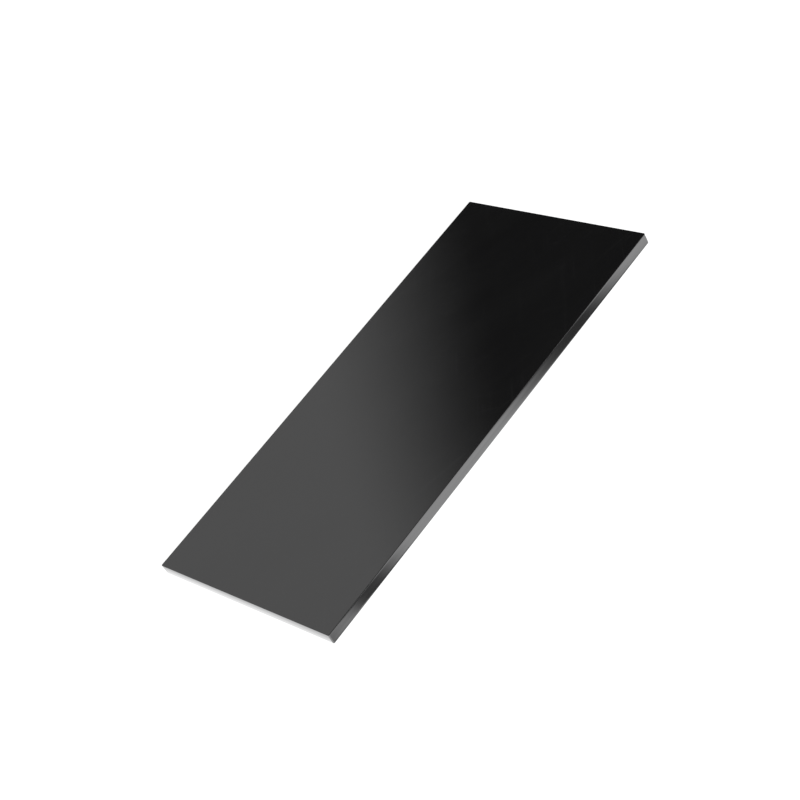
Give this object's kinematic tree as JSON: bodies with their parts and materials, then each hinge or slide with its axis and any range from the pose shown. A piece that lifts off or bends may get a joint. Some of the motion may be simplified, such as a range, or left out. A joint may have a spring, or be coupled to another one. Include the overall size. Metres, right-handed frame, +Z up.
{
  "type": "kick plate",
  "caption": "Self-adhesive rectangular kick plate: a gloss black facing on a thick aluminium plate, held by foam tape strips with peel-off liners on its back.",
  "frame": {"origin": "centre of the rear bonding plane, which is the outer face of the release liners; once they are peeled the tape bonds 0.1 mm further in", "axes": "+Z up the door, +X along the plate's length, +Y out of its back towards the door; the gloss front faces -Y"},
  "size_m": [0.33, 0.0092, 0.15],
  "materials": {
    "aluminium": "satin",
    "black_gloss": "gloss",
    "foam_tape": "matte",
    "release_liner": "satin"
  },
  "bodies": {
    "root": {"core_plate": "aluminium", "black_facing": "black_gloss", "tape_top": "foam_tape", "tape_bottom": "foam_tape", "tape_left": "foam_tape", "tape_right": "foam_tape", "tape_middle": "foam_tape", "liner_top": "release_liner", "liner_bottom": "release_liner", "liner_left": "release_liner", "liner_right": "release_liner", "liner_middle": "release_liner"}
  },
  "joints": []
}
